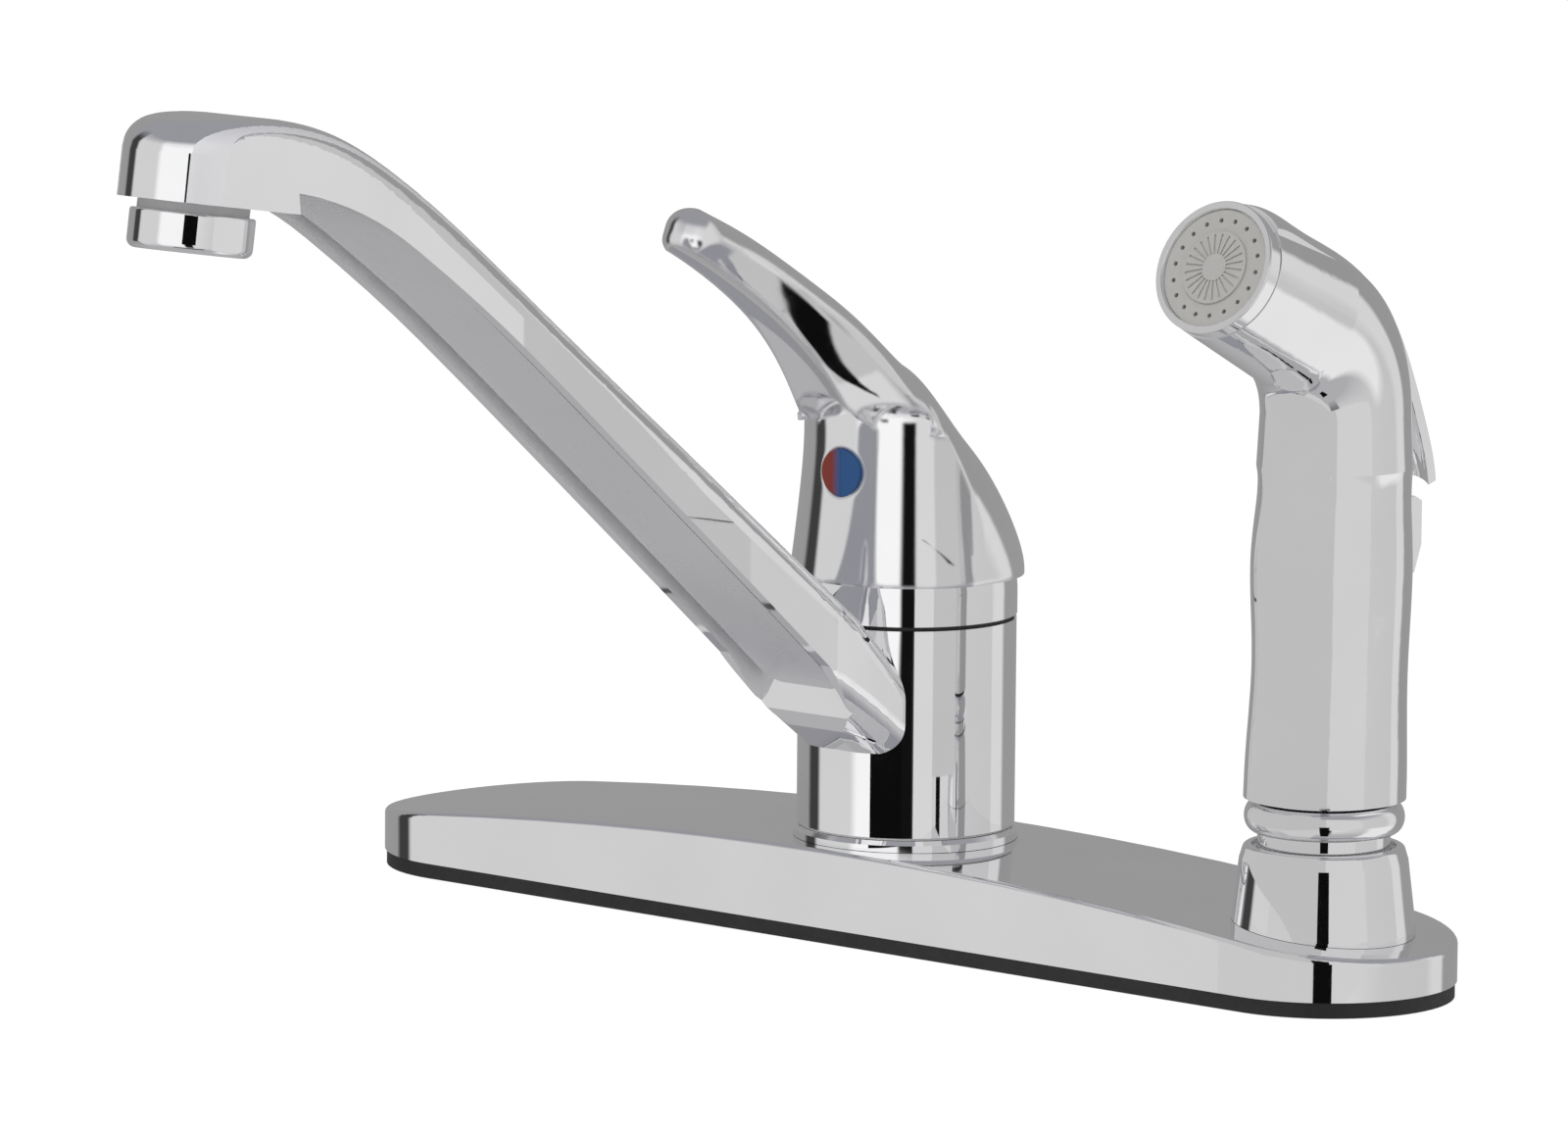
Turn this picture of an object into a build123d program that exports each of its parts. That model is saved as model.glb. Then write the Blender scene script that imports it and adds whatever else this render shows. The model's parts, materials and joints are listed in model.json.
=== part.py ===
from build123d import *
import math
import os

# Single-lever kitchen tap with a swivelling spout and a pull-up side spray, on one arched deck plate.
# Millimetres, +Z up. The tap's vertical axis meets the sink at the origin. The spout and the lever
# point along -Y, towards the user, and the side spray stands at +X.

# ---------------------------------------------------------------- clearances
seat_gap = 0.05                # between pieces that are clamped, screwed or glued together
running_gap = 0.06             # between faces and bores that turn or slide on each other
disc_face_gap = 0.02           # between the two lapped ceramic discs
ear_gap = 0.26                 # around the thumb lever's lug
seal_room_gap = 0.1            # around the sealing ring on the side spray's spigot
loose_gap = 0.4                # between pieces that pass each other without touching

# ---------------------------------------------------------------- deck plate and gasket
hole_pitch = 101.6             # between neighbouring sink holes
deck_length = 254.0
deck_width = 50.8
gasket_thickness = 3.0
gasket_inset = 0.4
plate_end_height = 10.4        # top of the arch at the plate's two ends, above the sink
plate_middle_height = 18.2     # top of the arch at the tap's axis
plate_wall = 2.2
plate_edge_round = 1.2
stud_boss_radius = 8.0
stud_hole_radius = 3.4         # tapped for an M8 stud
stud_hole_depth = 6.0
rib_thickness = 1.8
rib_offset = 9.0               # ribs' distance from the plate's centre line
rib_lift = 3.0                 # ribs end this far above the gasket
rib_end_gap = 2.0              # from the ribs' ends to the pieces below the plate

# ---------------------------------------------------------------- fixed column inside the spout's hub
hub_radius = 21.1
hub_wall = 3.8
hub_top = 61.0
base_ring_radius = 21.8
base_ring_top = 20.3
base_ring_bevel = (0.6, 0.8)   # inwards, and down
washer_thickness = 0.4
flange_radius = 19.5
flange_room = 0.5              # between the flange and the plate above it
neck_step = 0.4                # of the column's lower part, where the plate and the base ring sit
column_top = 67.0
port_radius = 4.5              # tapped inlets for the supply hoses
port_depth = 9.0
port_offset = 11.0             # ports' distance from the axis
channel_radius = 2.6
ring_section = 1.3             # O-ring section's radius
groove_room = 0.15             # above and below an O-ring in its groove
crossway_drop = 3.0            # inlet ways cross this far below the cartridge
mixed_way_drop = 6.0           # the mixed water's ways cross this far below the waist
lower_seal_height = 30.0
upper_seal_height = 57.6
waist_depth = 2.1              # water collects round this waist and leaves by the spout
waist_low = 44.5
waist_high = 53.0
diverter_bore_radius = 4.5
diverter_low = 14.0
diverter_high = 32.0
diverter_length = 12.0
diverter_groove_top = 1.6      # seal's groove, below the piston's top
diverter_groove_width = 1.8
diverter_groove_depth = 1.0
piston_way_radius = 1.8

# ---------------------------------------------------------------- cartridge
cartridge_radius = 12.9
chamber_floor = 43.2
cartridge_wall = 1.5
port_seal_radius = 3.2
port_seal_height = 0.9
port_seal_bore = 2.1
cartridge_base_thickness = 3.2
fixed_disc_thickness = 3.2
moving_disc_radius = 7.8
moving_disc_thickness = 2.8
pocket_radius = 4.6            # of the blind pocket below the moving disc
pocket_depth = 1.4
pocket_offset = 1.2
driver_thickness = 4.4
driver_floor = 1.0             # left below the driver's socket
driver_flare_radius = 3.2      # where the socket opens at the driver's top
driver_flare_height = 2.4
stem_foot_gap = 0.3            # between the stem's rounded foot and the socket's floor
cartridge_port_offset = 6.6
cartridge_port_radius = 2.4
pivot_height = 66.0            # the lever tilts about this height
pivot_pin_radius = 1.5
pin_inset = 0.2                # the pin's ends lie this far inside the carrier's neck
carrier_flange_thickness = 2.4
carrier_neck_radius = 9.4
carrier_top = 72.5
carrier_slot_length = 13.6
housing_lid = 2.2
housing_neck_wall = 1.6
housing_top = 69.5
bonnet_nut_height = 4.4
nut_notch_width = 2.4
nut_notch_depth = 1.5
nut_notch_count = 4

# ---------------------------------------------------------------- domed cap under the handle
friction_ring_thickness = 0.7
friction_ring_radius = 20.6
cap_radius = 21.2
cap_wall = 1.6
cap_opening_height = 78.0      # the dome is open above this height

# ---------------------------------------------------------------- lever handle
skirt_gap = 0.6                # between the cap's dome and the handle's hollow
skirt_bottom = 69.5
dome_side = ((22.8, 69.5), (22.0, 76.0), (21.0, 85.0), (20.4, 92.0), (20.2, 99.0))
dome_top = 107.0
dome_top_round = 7.0
# the handle's upper surface: (y, z) of its crest, and the radius of its crown
crest = ((22.4, 62.0, 22.8), (22.3, 70.0, 22.6), (20.6, 78.0, 22.2), (15.6, 86.6, 21.8), (7.0, 96.6, 21.0),
         (-1.2, 104.9, 20.0), (-9.4, 112.3, 16.5), (-17.6, 118.9, 13.4), (-31.0, 128.3, 9.6),
         (-45.5, 136.7, 8.1), (-58.0, 142.9, 7.4), (-70.5, 148.6, 7.2), (-83.0, 154.3, 7.2))
# the lever below that surface: (y, z) of its crest, half width at the crease, half width between the two
# ridges of its underside, and their depth
lever_stations = ((2.0, 104.0, 19.4, 7.2, 24.0), (-9.4, 112.3, 15.0, 7.0, 19.5),
                  (-17.6, 118.9, 11.4, 6.2, 16.5), (-31.0, 128.3, 8.3, 5.0, 12.4),
                  (-45.5, 136.7, 7.1, 4.2, 10.2), (-58.0, 142.9, 6.9, 3.8, 9.2),
                  (-70.5, 148.6, 6.8, 3.7, 8.9), (-83.0, 154.3, 6.8, 3.6, 8.6))
underside_hollow = 0.7         # of the underside between its ridges
lid_ridge = 7.0                # ridges' half width where they meet the handle's round front
lid_side = 16.4
lid_back = 10.0                # the lid reaches this far back beside the round front
# the lid over the round front: (y, height of the ridges, height of the hollows between them)
lid_stations = ((-6.0, 99.5, 104.4), (-19.0, 99.9, 104.9), (-24.0, 102.2, 105.7), (-28.0, 104.6, 107.0),
                (-36.0, 110.0, 110.6), (-44.0, 116.0, 116.3))
lever_tip = 67.2               # lever's end, in front of the axis
lever_tip_height = 144.1       # where its rounded end begins
lever_tip_radius = 7.0
lever_tip_thickness = 10.2
lever_tip_lean = 23.5          # lever's slope at its end, degrees
lever_tip_round = 4.2
lever_tip_fade = 14.0          # length over which the end's rounding fades into the lever
stem_width = 6.2
stem_top = 98.0
stem_root = 5.0                # the stem's square part begins this far below the pivot
stem_foot_radius = 2.0
screw_height = 90.8
screw_radius = 2.5
screw_length = 9.0
button_radius = 4.6
button_thickness = 1.4
button_stem_radius = 2.3
button_stem_length = 2.6
button_proud = 0.15            # the button stands this far out of the handle's front
screw_socket_radius = 1.3
screw_socket_depth = 2.4

# ---------------------------------------------------------------- spout
arm_half_width = 13.8
arm_corner_round = 6.0
arm_wall = 2.4
recess_depth = 4.8             # of the underside's recess, from the arm's lower edge
cover_depth = 1.2              # of the recess's cover plate, from the arm's lower edge
cover_half_width = 8.9
cover_corner_round = 3.2
channel_half_width = 7.0
channel_start = 23.0           # water channel's lower end, from the tap's axis
channel_ceiling = 3.4          # arm's thickness above the water channel
recess_start = 30.0            # recess's two ends, from the tap's axis
recess_end = 183.0
reach = 200.6                  # from the tap's axis to the outlet's centre
outlet_height = 158.4
outlet_tilt = 9.0              # the outlet leans towards the user, degrees
outlet_bore_radius = 6.5
nose_trim_room = 6.0           # the arm is first made this much too long
heel_inset = 0.6               # from the head's width to the lower face's inner end
thread_depth = 1.0
inlet_radius = 4.0             # way through the hub's wall
passage_radius = 3.0           # way from the arm's channel to the outlet
# the arm's rounded root: (distance in front of the axis, width, height, middle's height, corner round)
root_stations = ((0.0, 26.6, 23.4, 32.6, 9.0), (21.0, 26.6, 23.4, 48.9, 9.0), (50.0, 29.0, 30.0, 73.5, 4.0))
# pad under the arm where it meets the hub, as (distance in front of the axis, height)
pad_outline = ((0.0, 37.2), (21.6, 37.2), (24.0, 38.4), (27.5, 42.2), (34.0, 50.6), (44.0, 62.0),
               (0.0, 57.0))
aerator_neck_radius = 8.9
aerator_neck_length = 1.7
aerator_radius = 11.3
aerator_length = 7.2
aerator_bore_radius = 8.8
aerator_way_radius = 5.9
aerator_lid = 1.2              # housing's thickness above the flow former
aerator_round = 1.6
aerator_top_round = 0.5
washer_width = 1.2
former_slot_start = 3.0        # flow former's slots, from its axis
former_slot_end = 7.4
former_slot_width = 1.2
former_slot_count = 10
thread_length = 6.0            # of the aerator's neck inside the outlet
screen_thickness = 1.2
screen_pitch = 2.6             # between neighbouring holes of the screen
screen_cell = 1.0              # a hole's corner radius
screen_setback = 1.2
screen_margin = 1.95           # whole rim outside the holes' centres
# arm's outline from the side, as (distance in front of the axis, height)
arm_top_line = ((8.0, 50.9), (48.5, 80.7), (77.3, 102.2), (105.4, 123.0), (132.9, 143.6), (146.4, 153.4),
                (159.7, 162.0), (172.9, 168.8), (185.9, 172.6), (200.0, 174.0))
arm_bottom_line = ((8.0, 30.8), (49.6, 65.1), (77.8, 87.6), (114.4, 116.6), (134.5, 132.0), (144.4, 139.0),
                   (154.2, 145.6), (164.0, 151.6), (174.7, 156.4), (188.0, 160.2))

# ---------------------------------------------------------------- spray holder
holder_foot_radius = 17.5
holder_shoulder_radius = 15.9
holder_shoulder_height = 25.9
holder_top_radius = 15.1
holder_top_height = 28.5
holder_top_round = 0.8
holder_bore_radius = 13.6
holder_ledge_radius = 11.2
holder_ledge_height = 13.4
holder_seat_sink = 2.0         # the foot is first made this far into the plate, then trimmed to it
liner_setback = 0.6            # of the liner's top, inside the holder's
nut_gap = 1.4                  # below the plate's wall, filled by the saddle washer
holder_shank_radius = 14.4
holder_shank_bottom = 3.4
holder_nut_radius = 18.6
holder_nut_flat = 18.0         # half the distance across its flats
holder_nut_height = 3.6
liner_wall = 1.0

# ---------------------------------------------------------------- side spray
coupling_neck_radius = 12.5
coupling_tail_radius = 10.4
coupling_tail_bottom = 6.0
hose_port_radius = 5.6
hose_port_depth = 10.0
bead_radius = 15.1
bead_low = 31.0
bead_high = 37.0
bead_swell = 2.2               # how far the bead's round edge stands out
spigot_seal_drop = 4.0         # the sealing ring's underside, below the spigot's top
spigot_seal_height = 2.0
spigot_seal_width = 1.2
spigot_radius = 9.0            # the grip turns on this spigot
spigot_top = 50.0
# the grip as (set back from the holder's axis, radius, height)
grip_stations = ((0.0, 15.3, 37.5), (0.2, 15.2, 44.0), (0.6, 14.8, 54.0), (1.0, 14.7, 66.0),
                 (1.0, 15.1, 76.0), (1.2, 14.9, 88.0), (1.6, 14.7, 100.0))
elbow_tube_radius = 14.2
head_end_radius = 12.8
head_rise = 24.0               # the head points this far above level, degrees
elbow_radius = 22.0
face_forward = 36.4            # face's centre in front of the holder's axis, and its height
face_height = 140.9
bezel_radius = 12.8
bezel_length = 3.4
face_radius = 11.3
face_recess = 0.9
jet_count = 18
jet_circle = 9.25
jet_radius = 0.45
centre_disc_radius = 7.0
centre_disc_height = 0.5
flute_count = 24
flute_width = 0.4
flute_depth = 0.3
# thumb lever: its outer spine as (y, z), and the slope of each place in degrees above level
thumb_spine = ((-27.6, 151.6, 24.0), (-16.2, 147.0, 24.0), (-4.4, 141.6, 28.0), (4.8, 135.4, 42.0),
               (12.0, 126.8, 58.0), (17.6, 116.0, 66.0), (21.5, 106.7, 70.0), (24.1, 97.2, 74.0))
thumb_half_width = 9.5
thumb_thickness = 2.4
thumb_crown_radius = 13.6
thumb_side_gap = 0.5
thumb_start_gap = 0.4          # lever's clearance over the body at its upper end
thumb_travel = 3.4             # degrees
thumb_room_spare = 1.15        # the room below the lever, as a share of what its travel takes
thumb_pivot = (-23.5, 143.6)   # (y, z) of the pin that carries the thumb lever
thumb_pin_radius = 1.0
thumb_pin_half = 7.0           # half its length
thumb_ear_width = 3.0
thumb_ear_radius = 2.2
thumb_ear_height = 4.5         # up into the lever, from the pin
ledge_low = 79.0               # finger rest on the grip's back, below the lever
ledge_high = 93.5
ledge_crest_low = 88.5         # heights of its outermost part
ledge_crest_high = 91.5
ledge_reach = 3.9
ledge_half_width = 8.0
plunger_radius = 3.0
plunger_tail = 118.0           # height of the plunger's lower end
plunger_gap = 0.3              # from the plunger's rounded end to the thumb lever
plunger_seal_height = 126.0
grip_channel_radius = 2.0
head_channel_radius = 2.6
chamber_depth = 1.6            # water spreads out in it behind the spray face
chamber_wall = 2.4
spring_length = 8.0
spring_wire = 0.35             # wire's radius
spring_radius = 2.2            # coil's radius
spring_coils = 5

# ---------------------------------------------------------------- sizes worked out from these
hub_bore_radius = hub_radius - hub_wall
column_radius = hub_bore_radius - running_gap
neck_radius = column_radius - neck_step
waist_radius = column_radius - waist_depth
seal_radius = hub_bore_radius - running_gap / 2 - ring_section
groove_radius = seal_radius - ring_section - seat_gap
chamber_radius = cartridge_radius + seat_gap
hub_bottom = base_ring_top + washer_thickness + 2 * running_gap
cap_bottom = hub_top + friction_ring_thickness + 2 * running_gap
base_low = chamber_floor + seat_gap
fixed_disc_low = base_low + cartridge_base_thickness + seat_gap
fixed_disc_high = fixed_disc_low + fixed_disc_thickness
moving_disc_low = fixed_disc_high + disc_face_gap
moving_disc_high = moving_disc_low + moving_disc_thickness
driver_low = moving_disc_high + seat_gap
driver_high = driver_low + driver_thickness
stem_foot_height = driver_low + driver_floor + stem_foot_radius + stem_foot_gap
carrier_low = driver_high + running_gap
carrier_flange_high = carrier_low + carrier_flange_thickness
housing_shoulder = carrier_flange_high + running_gap + housing_lid
housing_neck_radius = carrier_neck_radius + running_gap + housing_neck_wall
housing_bore_radius = cartridge_radius - cartridge_wall
fixed_disc_radius = housing_bore_radius - seat_gap
hollow_radius = cap_radius + skirt_gap
aerator_top = -aerator_neck_length
aerator_bottom = aerator_top - aerator_length
aerator_shoulder = aerator_top - aerator_lid
arch_rise = plate_middle_height - plate_end_height
arch_radius = ((deck_length / 2) ** 2 + arch_rise ** 2) / (2 * arch_rise)
spray_x = hole_pitch
stud_x = -hole_pitch
tall = 400.0                   # longer than anything here, for cutting


def plate_top(x):
    """Height of the arched plate's top at a place along its length."""
    return plate_middle_height - arch_radius + math.sqrt(arch_radius ** 2 - x ** 2)


# ================================================================ helpers
def turned(points):
    """A solid of revolution about the tap's axis, from its (radius, height) outline."""
    return revolve(Plane.XZ * make_face(Polyline(*points, close=True)), Axis.Z)


def disc(radius, low, high, x=0.0, y=0.0):
    return Pos(x, y, (low + high) / 2) * Cylinder(radius, high - low)


def ring(outer, inner, low, high, x=0.0, y=0.0):
    return disc(outer, low, high, x, y) - disc(inner, low - 1, high + 1, x, y)


def block(x0, x1, y0, y1, z0, z1):
    return Pos((x0 + x1) / 2, (y0 + y1) / 2, (z0 + z1) / 2) * Box(x1 - x0, y1 - y0, z1 - z0)


def across(radius, x0, x1, y, z):
    """A pin along X."""
    return Pos((x0 + x1) / 2, y, z) * Rot(0, 90, 0) * Cylinder(radius, x1 - x0)


def along_y(radius, y0, y1, x, z):
    """A pin along Y."""
    return Pos(x, (y0 + y1) / 2, z) * Rot(90, 0, 0) * Cylinder(radius, y1 - y0)


def polar_copies(shape, count, start=0.0):
    return [Rot(0, 0, start + 360 * i / count) * shape for i in range(count)]


def write(name, shape):
    solids = shape.solids()
    body = solids[0] if len(solids) == 1 else Compound(children=list(solids))
    export_step(body, f"parts/{name}.step")


# ================================================================ deck plate
def under_arch(drop):
    """Everything below the plate's arched top, lowered by drop."""
    barrel = Rot(90, 0, 0) * Cylinder(arch_radius - drop, 4 * deck_width)
    return Pos(0, 0, plate_middle_height - arch_radius) * barrel


def deck_prism(inset, low, high):
    outline = SlotOverall(deck_length - 2 * inset, deck_width - 2 * inset)
    return extrude(Plane.XY.offset(low) * outline, high - low)


def plate_ribs():
    low = gasket_thickness + rib_lift
    left_end = stud_x + stud_boss_radius / 2
    right_end = spray_x - holder_nut_radius - rib_end_gap
    ribs = []
    for y in (-rib_offset, rib_offset):
        y0 = y - rib_thickness / 2
        y1 = y + rib_thickness / 2
        inner_end = flange_radius + rib_end_gap
        ribs.append(block(left_end, -inner_end, y0, y1, low, plate_middle_height))
        ribs.append(block(inner_end, right_end, y0, y1, low, plate_middle_height))
    return ribs


def deck_plate():
    sky = plate_middle_height + 5
    plate = deck_prism(0, gasket_thickness, sky) & under_arch(0)
    rim = plate.faces().sort_by(Axis.Z)[-1].edges()
    plate = fillet(rim, plate_edge_round)
    plate -= deck_prism(plate_wall, gasket_thickness - 1, sky) & under_arch(plate_wall)
    inside = under_arch(plate_wall / 2)
    plate += disc(stud_boss_radius, gasket_thickness, sky, stud_x) & inside
    for rib in plate_ribs():
        plate += rib & inside
    plate -= disc(stud_hole_radius, gasket_thickness - 1, gasket_thickness + stud_hole_depth, stud_x)
    plate -= disc(neck_radius + seat_gap, gasket_thickness, sky)
    return plate - disc(holder_shank_radius + seat_gap, gasket_thickness, sky, spray_x)


def deck_gasket():
    gasket = deck_prism(gasket_inset, 0, gasket_thickness - seat_gap)
    gasket -= disc(flange_radius + loose_gap, -1, gasket_thickness + 1)
    gasket -= disc(stud_boss_radius, -1, gasket_thickness + 1, stud_x)
    return gasket - disc(holder_shank_radius + loose_gap, -1, gasket_thickness + 1, spray_x)


# ================================================================ column and its rings
def seal_groove(height):
    half = ring_section + groove_room
    return [(column_radius, height - half), (groove_radius, height - half),
            (groove_radius, height + half), (column_radius, height + half)]


def column_blank():
    flange_high = plate_middle_height - plate_wall - flange_room
    step = base_ring_top + washer_thickness
    outline = [(0, 0), (flange_radius, 0), (flange_radius, flange_high), (neck_radius, flange_high),
               (neck_radius, step), (column_radius, step)]
    outline += seal_groove(lower_seal_height)
    outline += [(column_radius, waist_low), (waist_radius, waist_low),
                (waist_radius, waist_high), (column_radius, waist_high)]
    outline += seal_groove(upper_seal_height)
    outline += [(column_radius, column_top), (chamber_radius, column_top),
                (chamber_radius, chamber_floor), (0, chamber_floor)]
    return turned(outline)


def inlet_ways():
    """Hot and cold water, up from the inlets to the cartridge."""
    ways = []
    crossing = chamber_floor - crossway_drop
    for side in (-1, 1):
        x = side * port_offset
        x_in = side * cartridge_port_offset
        ways.append(disc(port_radius, -1, port_depth, x))
        ways.append(disc(channel_radius, 0, crossing, x))
        ways.append(across(channel_radius, min(x, x_in), max(x, x_in), 0, crossing))
        ways.append(disc(channel_radius, crossing, chamber_floor + 1, x_in))
    return ways


def outlet_ways():
    """Mixed water, out to the waist, and through the diverter down to the side spray's hose."""
    crossing = waist_low - mixed_way_drop
    low = crossing - 1
    outside = column_radius + 1
    mixed = disc(channel_radius, crossing, chamber_floor + 1, 0, cartridge_port_offset)
    to_waist = along_y(channel_radius, cartridge_port_offset, outside, 0, crossing)
    rise = block(-channel_radius, channel_radius, waist_radius, outside, low, waist_low + 1)
    bore = disc(diverter_bore_radius, diverter_low, diverter_high, 0, -port_offset)
    port = disc(port_radius, -1, port_depth, 0, -port_offset)
    drop = disc(channel_radius, 0, diverter_low + 1, 0, -port_offset)
    feed = disc(channel_radius, diverter_high - 1, crossing, 0, -port_offset)
    feed_in = along_y(channel_radius, -outside, -port_offset, 0, crossing)
    feed_rise = block(-channel_radius, channel_radius, -outside, -waist_radius, low, waist_low + 1)
    return [mixed, to_waist, rise, bore, port, drop, feed, feed_in, feed_rise]


def valve_body():
    body = column_blank()
    body -= disc(stud_hole_radius, -1, port_depth, 0, port_offset)
    for way in inlet_ways() + outlet_ways():
        body -= way
    return body


def spout_seals():
    seals = []
    for height in (lower_seal_height, upper_seal_height):
        section = Pos(seal_radius, height) * Circle(ring_section)
        seals.append(revolve(Plane.XZ * section, Axis.Z))
    return Compound(children=seals)


def base_ring():
    shape = turned([(neck_radius + seat_gap, plate_end_height), (base_ring_radius, plate_end_height),
                    (base_ring_radius, base_ring_top - base_ring_bevel[1]),
                    (base_ring_radius - base_ring_bevel[0], base_ring_top),
                    (neck_radius + seat_gap, base_ring_top)])
    return shape - under_arch(-seat_gap)


def hub_washer():
    low = base_ring_top + running_gap
    return ring(friction_ring_radius, column_radius + running_gap, low, low + washer_thickness)


def friction_ring():
    low = hub_top + running_gap
    return ring(friction_ring_radius, column_radius + running_gap, low, low + friction_ring_thickness)


def dome_cap():
    sphere = Pos(0, 0, pivot_height) * Sphere(cap_radius)
    shell = disc(cap_radius, cap_bottom, pivot_height)
    shell += sphere & disc(cap_radius + 1, pivot_height - 1, cap_opening_height)
    inner = Pos(0, 0, pivot_height) * Sphere(cap_radius - cap_wall)
    shell -= inner & disc(cap_radius, column_top + seat_gap, cap_opening_height + 1)
    return shell - disc(column_radius + seat_gap, cap_bottom - 1, column_top + 1)


# ================================================================ cartridge
def ports(radius, low, high):
    """The cartridge's three ways: hot, cold and mixed."""
    places = ((-cartridge_port_offset, 0), (cartridge_port_offset, 0), (0, cartridge_port_offset))
    return [disc(radius, low, high, x, y) for x, y in places]


def cartridge_base():
    high = base_low + cartridge_base_thickness
    shape = disc(cartridge_radius, base_low, high)
    for way in ports(cartridge_port_radius, base_low - 1, high + 1):
        shape -= way
    for recess in ports(port_seal_radius + seat_gap, base_low - 1, base_low + port_seal_height + seat_gap):
        shape -= recess
    return shape


def port_seals():
    high = base_low + port_seal_height
    outside = ports(port_seal_radius, base_low, high)
    inside = ports(port_seal_bore, base_low - 1, high + 1)
    return Compound(children=[outer - inner for outer, inner in zip(outside, inside)])


def fixed_disc():
    shape = disc(fixed_disc_radius, fixed_disc_low, fixed_disc_high)
    for way in ports(cartridge_port_radius, fixed_disc_low - 1, fixed_disc_high + 1):
        shape -= way
    return shape


def moving_disc():
    """Ceramic disc with a blind pocket below, which joins the ports as it slides."""
    shape = disc(moving_disc_radius, moving_disc_low, moving_disc_high)
    pocket = disc(pocket_radius, moving_disc_low - 1, moving_disc_low + pocket_depth, 0, pocket_offset)
    return shape - pocket


def disc_driver():
    shape = disc(moving_disc_radius, driver_low, driver_high)
    socket = disc(stem_foot_radius + running_gap, driver_low + driver_floor, driver_high + 1)
    flare = Cone(stem_foot_radius + running_gap, driver_flare_radius, driver_flare_height)
    return shape - socket - Pos(0, 0, driver_high) * flare


def cartridge_housing():
    low = fixed_disc_low
    inner_high = carrier_flange_high + running_gap
    bore = carrier_neck_radius + running_gap
    return turned([(housing_bore_radius, low), (cartridge_radius, low), (cartridge_radius, housing_shoulder),
                   (housing_neck_radius, housing_shoulder), (housing_neck_radius, housing_top),
                   (bore, housing_top), (bore, inner_high), (housing_bore_radius, inner_high)])


def bonnet_nut():
    low = housing_shoulder + seat_gap
    high = low + bonnet_nut_height
    half = nut_notch_width / 2
    shape = ring(chamber_radius - seat_gap, housing_neck_radius + seat_gap, low, high)
    notch = block(housing_neck_radius, chamber_radius + 1, -half, half, high - nut_notch_depth, high + 1)
    for cut in polar_copies(notch, nut_notch_count, 45):
        shape -= cut
    return shape


def stem_carrier():
    shape = disc(housing_bore_radius - running_gap, carrier_low, carrier_flange_high)
    shape += disc(carrier_neck_radius, carrier_low, carrier_top)
    half = stem_width / 2 + running_gap
    shape -= block(-half, half, -carrier_slot_length / 2, carrier_slot_length / 2, carrier_low - 1,
                   carrier_top + 1)
    end = carrier_neck_radius + 1
    return shape - across(pivot_pin_radius, -end, end, 0, pivot_height)


def pivot_pin():
    half = carrier_neck_radius - pin_inset
    return across(pivot_pin_radius - seat_gap / 2, -half, half, 0, pivot_height)


# ================================================================ handle
def tangents(points):
    """Unit direction of travel at each (y, z) place of a line through them."""
    result = []
    for i in range(len(points)):
        before = points[max(i - 1, 0)]
        after = points[min(i + 1, len(points) - 1)]
        dy = after[0] - before[0]
        dz = after[1] - before[1]
        length = math.hypot(dy, dz)
        result.append((dy / length, dz / length))
    return result


def cross_plane(x, y, z, direction):
    """Plane across the line of travel, with its own Y axis pointing up and out of the surface."""
    dy, dz = direction
    return Plane(origin=(x, y, z), x_dir=(1, 0, 0), z_dir=(0, dy, dz))


def crest_roof(lift=0.0):
    """Everything under the handle's crowned upper surface."""
    sections = []
    for (y, z, radius), direction in zip(crest, tangents(crest)):
        plane = cross_plane(0, y, z, direction)
        half = radius + lift
        arc = ThreePointArc((-half, -radius), (0, lift), (half, -radius))
        sides = Polyline((half, -radius), (half, -radius - 34), (-half, -radius - 34), (-half, -radius))
        sections.append(plane * make_face([arc, sides]))
    return loft(sections)


def lever_wedge():
    """The lever below its crown: widest at the crease, narrowing to two ridges with a hollow between."""
    sections = []
    places = [station[:2] for station in lever_stations]
    for (y, z, half, ridge, depth), direction in zip(lever_stations, tangents(places)):
        plane = cross_plane(0, y, z, direction)
        crease = half * 0.75
        waist = (0.62 * half + 0.38 * ridge, -crease - 0.42 * (depth - crease))
        right = ThreePointArc((half, -crease), waist, (ridge, -depth))
        bottom = ThreePointArc((ridge, -depth), (0, -depth + underside_hollow), (-ridge, -depth))
        left = ThreePointArc((-ridge, -depth), (-waist[0], waist[1]), (-half, -crease))
        top = Polyline((-half, -crease), (-half, 6), (half, 6), (half, -crease))
        sections.append(plane * make_face([right, bottom, left, top]))
    return loft(sections)


def lid_section(y, ridge, hollow):
    """Space below the lever across the handle, with three hollows in its ceiling."""
    middle = (lid_ridge + lid_side) / 2
    end = 2 * lid_side
    low = skirt_bottom - 5
    near = Line((end, ridge), (lid_side, ridge))
    right = ThreePointArc((lid_side, ridge), (middle, hollow), (lid_ridge, ridge))
    centre = ThreePointArc((lid_ridge, ridge), (0, hollow), (-lid_ridge, ridge))
    left = ThreePointArc((-lid_ridge, ridge), (-middle, hollow), (-lid_side, ridge))
    far = Line((-lid_side, ridge), (-end, ridge))
    floor = Polyline((-end, ridge), (-end, low), (end, low), (end, ridge))
    return Plane.XZ.offset(-y) * make_face([near, right, centre, left, far, floor])


def under_lid():
    """What the lever leaves free in front of and beside the handle's round front."""
    sections = [lid_section(*station) for station in lid_stations]
    return loft(sections) + extrude(sections[0], -lid_back)


def handle_blank():
    side = Spline(*dome_side)
    wall = Line(dome_side[-1], (dome_side[-1][0], dome_top))
    lid = Polyline((dome_side[-1][0], dome_top), (0, dome_top), (0, skirt_bottom), dome_side[0])
    dome = revolve(Plane.XZ * make_face([side, wall, lid]), Axis.Z)
    top_edge = dome.edges().filter_by(GeomType.CIRCLE).sort_by(Axis.Z)[-1]
    dome = fillet(top_edge, dome_top_round)
    return (dome + (lever_wedge() - under_lid())) & crest_roof()


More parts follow.
